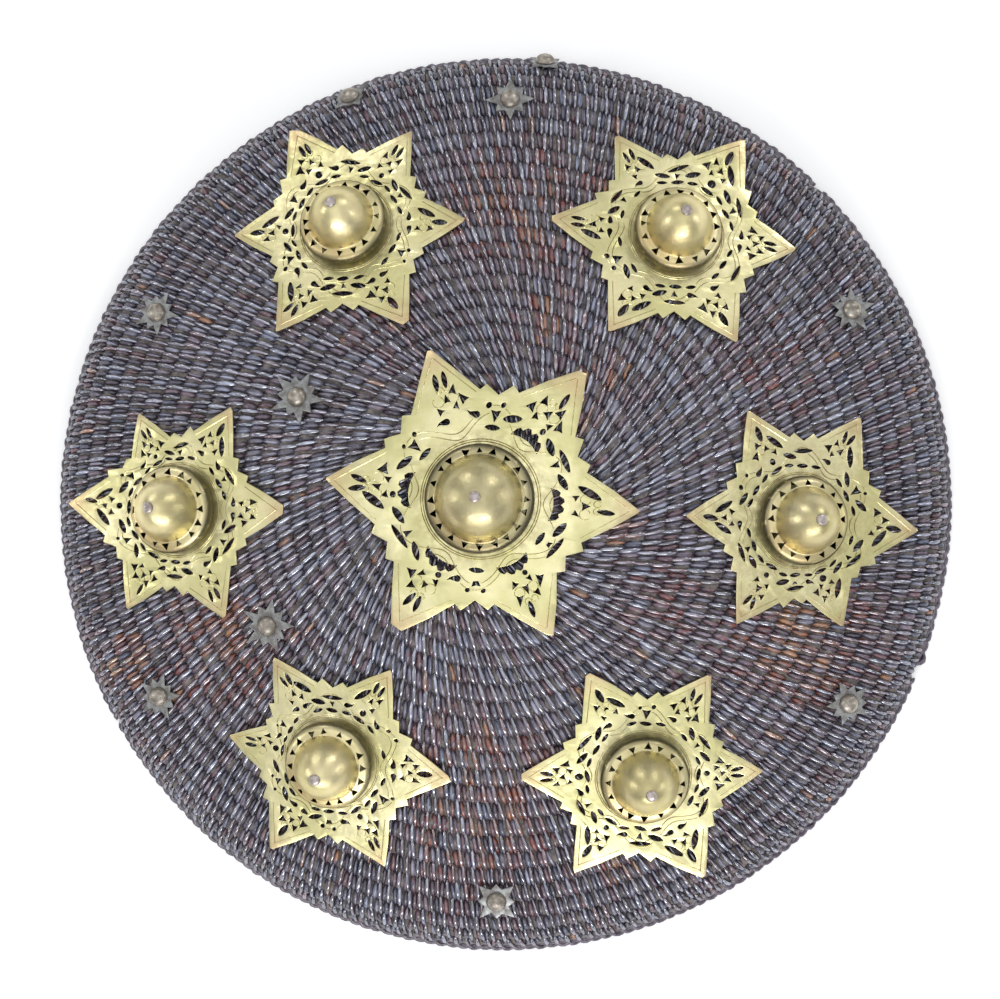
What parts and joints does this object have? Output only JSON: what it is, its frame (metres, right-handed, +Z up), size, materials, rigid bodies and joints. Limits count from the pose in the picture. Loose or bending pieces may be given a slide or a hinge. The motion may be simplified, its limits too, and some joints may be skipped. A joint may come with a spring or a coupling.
{
  "type": "rattan shield",
  "caption": "Round convex shield of coiled dark rattan with pierced brass star bosses, small grey stars under domed nails and a plaited rim, lying face up.",
  "frame": {"origin": "under the middle of the shield, on the surface that its rim lies on", "axes": "+Z up along the shield's axis, out of its face; +Y towards the shield's top edge; +X to the right as seen from the front"},
  "size_m": [0.5, 0.5, 0.121],
  "materials": {
    "rattan": "worn dark stain, glossy on the cane strips",
    "rim_cane": "dull dark stain",
    "brass": "old polished brass with light patina",
    "rivet_metal": "dull grey",
    "grey_tin": "dull tarnished grey",
    "nail_bronze": "dull bronze"
  },
  "bodies": {
    "root": {"rattan_body": "rattan", "rim_braid": "rim_cane", "star_plate_centre": "brass", "boss_dome_centre": "brass", "boss_rivet_centre": "rivet_metal", "star_plate_upper_left": "brass", "boss_dome_upper_left": "brass", "boss_rivet_upper_left": "rivet_metal", "star_plate_upper_right": "brass", "boss_dome_upper_right": "brass", "boss_rivet_upper_right": "rivet_metal", "star_plate_right": "brass", "boss_dome_right": "brass", "boss_rivet_right": "rivet_metal", "star_plate_lower_right": "brass", "boss_dome_lower_right": "brass", "boss_rivet_lower_right": "rivet_metal", "star_plate_lower_left": "brass", "boss_dome_lower_left": "brass", "boss_rivet_lower_left": "rivet_metal", "star_plate_left": "brass", "boss_dome_left": "brass", "boss_rivet_left": "rivet_metal", "stud_star_top": "grey_tin", "stud_nail_top": "nail_bronze", "stud_star_upper_left": "grey_tin", "stud_nail_upper_left": "nail_bronze", "stud_star_upper_right": "grey_tin", "stud_nail_upper_right": "nail_bronze", "stud_star_lower_left": "grey_tin", "stud_nail_lower_left": "nail_bronze", "stud_star_lower_right": "grey_tin", "stud_nail_lower_right": "nail_bronze", "stud_star_bottom": "grey_tin", "stud_nail_bottom": "nail_bronze", "stud_star_inner_upper": "grey_tin", "stud_nail_inner_upper": "nail_bronze", "stud_star_inner_lower": "grey_tin", "stud_nail_inner_lower": "nail_bronze", "stud_star_rim_upper_left": "grey_tin", "stud_nail_rim_upper_left": "nail_bronze", "stud_star_rim_top": "grey_tin", "stud_nail_rim_top": "nail_bronze"}
  },
  "joints": []
}
